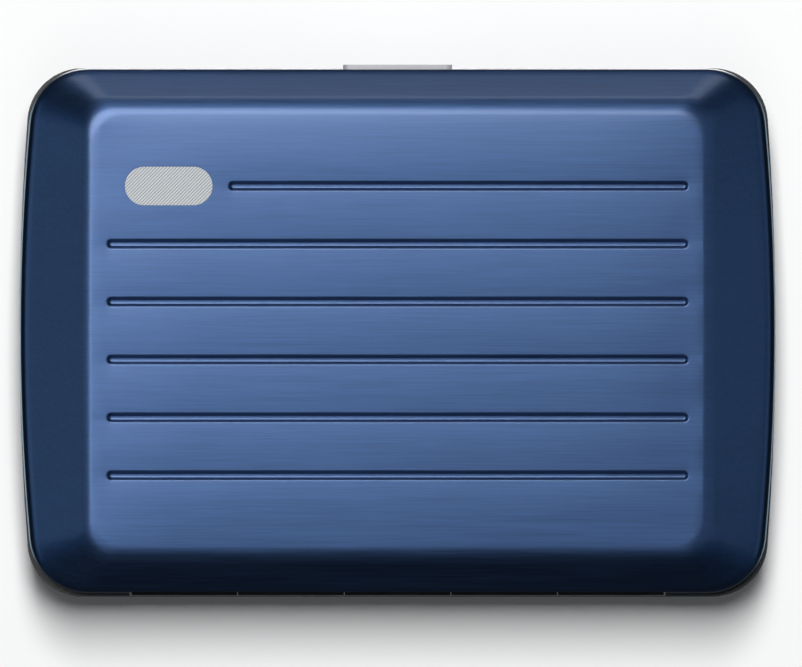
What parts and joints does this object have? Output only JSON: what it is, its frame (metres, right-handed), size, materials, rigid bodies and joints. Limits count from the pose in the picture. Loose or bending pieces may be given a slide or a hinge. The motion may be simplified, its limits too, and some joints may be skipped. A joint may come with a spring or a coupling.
{
  "type": "minimalist wallet",
  "caption": "Slim hard-shell card wallet: two ribbed blue aluminium half shells on a pin hinge, a push-button latch and a fan-out card accordion inside.",
  "frame": {"origin": "centre of the rear panel's flat face, which the closed case lies on", "axes": "+X along the case's width, +Y from the hinge edge to the latch edge, +Z out of the front panel"},
  "size_m": [0.11, 0.0774, 0.02],
  "materials": {
    "blue_shell": "drawn and pressed aluminium, brushed along its length and anodised navy blue, rims cut bright",
    "black_frame": "moulded black plastic with a fine satin texture",
    "liner": "thin black polypropylene sheet with a fine leather grain",
    "steel": "bright stainless steel",
    "grey_button": "moulded light grey plastic, satin",
    "pocket_leaf": "black polypropylene sheet with a fine leather grain",
    "pleat_film": "thin black polypropylene film, creased at each pleat"
  },
  "bodies": {
    "rear_half": {"rear_shell": "blue_shell", "rear_frame": "black_frame", "rear_liner": "liner", "hinge_pin": "steel", "latch_spring_left": "steel", "latch_spring_right": "steel", "pocket_wall_rear": "pocket_leaf", "gusset_left": "pleat_film", "gusset_right": "pleat_film", "pocket_spine": "pleat_film"},
    "lid": {"front_shell": "blue_shell", "front_frame": "black_frame", "front_liner": "liner", "strike_plate": "steel", "strike_rivets": "steel", "pocket_wall_front": "pocket_leaf"},
    "divider_1": {"divider_1": "pocket_leaf"},
    "divider_2": {"divider_2": "pocket_leaf"},
    "divider_3": {"divider_3": "pocket_leaf"},
    "divider_4": {"divider_4": "pocket_leaf"},
    "divider_5": {"divider_5": "pocket_leaf"},
    "divider_6": {"divider_6": "pocket_leaf"},
    "latch_button": {"latch_button": "grey_button"}
  },
  "joints": [
    {"name": "lid_hinge", "type": "hinge", "parent": "rear_half", "child": "lid", "pos_m": [0, -0.0369, 0.01], "axis": [1, 0, 0], "range_deg": [0, 40], "deforming": ["gusset_left", "gusset_right", "pocket_spine"]},
    {"name": "divider_1_fan", "type": "hinge", "parent": "rear_half", "child": "divider_1", "pos_m": [0, -0.0369, 0.01], "axis": [1, 0, 0], "range_deg": [0, 5.72]},
    {"name": "divider_2_fan", "type": "hinge", "parent": "rear_half", "child": "divider_2", "pos_m": [0, -0.0369, 0.01], "axis": [1, 0, 0], "range_deg": [0, 11.44]},
    {"name": "divider_3_fan", "type": "hinge", "parent": "rear_half", "child": "divider_3", "pos_m": [0, -0.0369, 0.01], "axis": [1, 0, 0], "range_deg": [0, 17.15]},
    {"name": "divider_4_fan", "type": "hinge", "parent": "rear_half", "child": "divider_4", "pos_m": [0, -0.0369, 0.01], "axis": [1, 0, 0], "range_deg": [0, 22.87]},
    {"name": "divider_5_fan", "type": "hinge", "parent": "rear_half", "child": "divider_5", "pos_m": [0, -0.0369, 0.01], "axis": [1, 0, 0], "range_deg": [0, 28.58]},
    {"name": "divider_6_fan", "type": "hinge", "parent": "rear_half", "child": "divider_6", "pos_m": [0, -0.0369, 0.01], "axis": [1, 0, 0], "range_deg": [0, 34.3]},
    {"name": "latch_press", "type": "slide", "parent": "rear_half", "child": "latch_button", "axis": [0, -1, 0], "range_m": [0, 0.0012], "stiffness_N_per_m": 400, "springref_m": -0.001, "deforming": ["latch_spring_left", "latch_spring_right"]}
  ],
  "couplings": [
    {"joint": "divider_1_fan", "follows": "lid_hinge", "ratio": 0.14286},
    {"joint": "divider_2_fan", "follows": "lid_hinge", "ratio": 0.28571},
    {"joint": "divider_3_fan", "follows": "lid_hinge", "ratio": 0.42857},
    {"joint": "divider_4_fan", "follows": "lid_hinge", "ratio": 0.57143},
    {"joint": "divider_5_fan", "follows": "lid_hinge", "ratio": 0.71429},
    {"joint": "divider_6_fan", "follows": "lid_hinge", "ratio": 0.85714}
  ]
}
